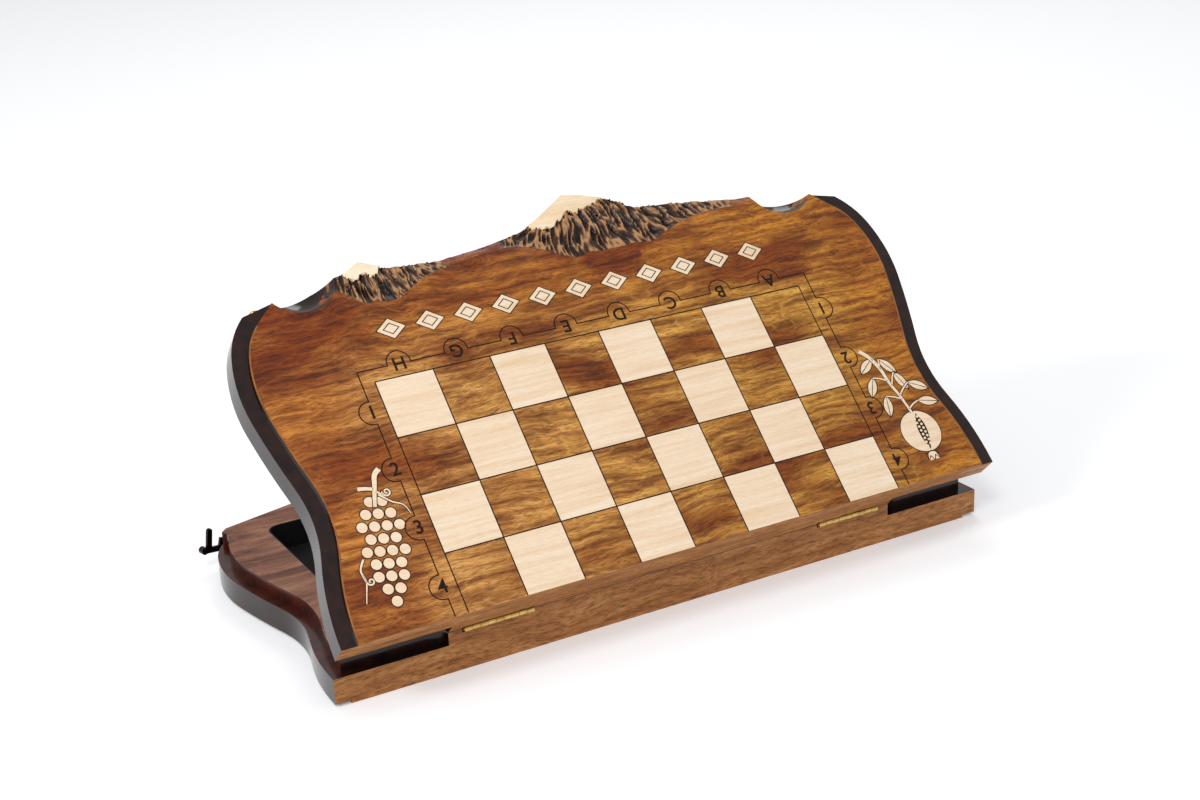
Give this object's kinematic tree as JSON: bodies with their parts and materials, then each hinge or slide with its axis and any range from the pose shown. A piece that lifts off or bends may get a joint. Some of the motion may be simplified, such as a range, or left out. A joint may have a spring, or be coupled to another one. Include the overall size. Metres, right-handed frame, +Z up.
{
  "type": "folding chess case",
  "caption": "Folding wooden chess case with a carved mountain ridge, inlaid squares, felt-lined pockets, butt hinges and swing-hook catches.",
  "frame": {"origin": "on the surface that the case rests on, under the middle of the case as it stands half open", "axes": "+Z up, +X along the hinges to the right, +Y from the hinges towards the carved ridge"},
  "size_m": [0.6132, 0.356, 0.29],
  "materials": {
    "stained_beech": "glossy lacquer over stained beech",
    "pale_veneer": "satin lacquer over natural veneer",
    "black_felt": "matt felt",
    "brass": "polished",
    "dark_brass": "antique dark"
  },
  "bodies": {
    "lower_half": {"lower_board": "stained_beech", "lower_light_squares": "pale_veneer", "lower_lining": "black_felt", "left_hinge_lower_leaf": "brass", "left_hook_plate": "dark_brass", "right_hinge_lower_leaf": "brass", "right_hook_plate": "dark_brass", "hinge_pins": "brass", "hinge_lower_screws": "brass", "hook_plate_screws": "brass", "hook_pivots": "brass"},
    "upper_half": {"upper_board": "stained_beech", "upper_light_squares": "pale_veneer", "upper_lining": "black_felt", "grape_inlay": "pale_veneer", "pomegranate_inlay": "pale_veneer", "lozenge_inlay": "pale_veneer", "left_hinge_upper_leaf": "brass", "right_hinge_upper_leaf": "brass", "hinge_upper_screws": "brass", "studs": "brass"},
    "left_hook": {"left_hook": "dark_brass"},
    "right_hook": {"right_hook": "dark_brass"}
  },
  "joints": [
    {"name": "fold", "type": "hinge", "parent": "lower_half", "child": "upper_half", "pos_m": [0, -0.15481, 0.0342], "axis": [1, 0, 0], "range_deg": [-44, 136]},
    {"name": "left_hook_swing", "type": "hinge", "parent": "lower_half", "child": "left_hook", "pos_m": [-0.264, 0.12924, 0.02], "axis": [-0.2425, 0.9701, 0], "range_deg": [-20, 82]},
    {"name": "right_hook_swing", "type": "hinge", "parent": "lower_half", "child": "right_hook", "pos_m": [0.264, 0.12924, 0.02], "axis": [-0.2425, -0.9701, 0], "range_deg": [-20, 82]}
  ]
}
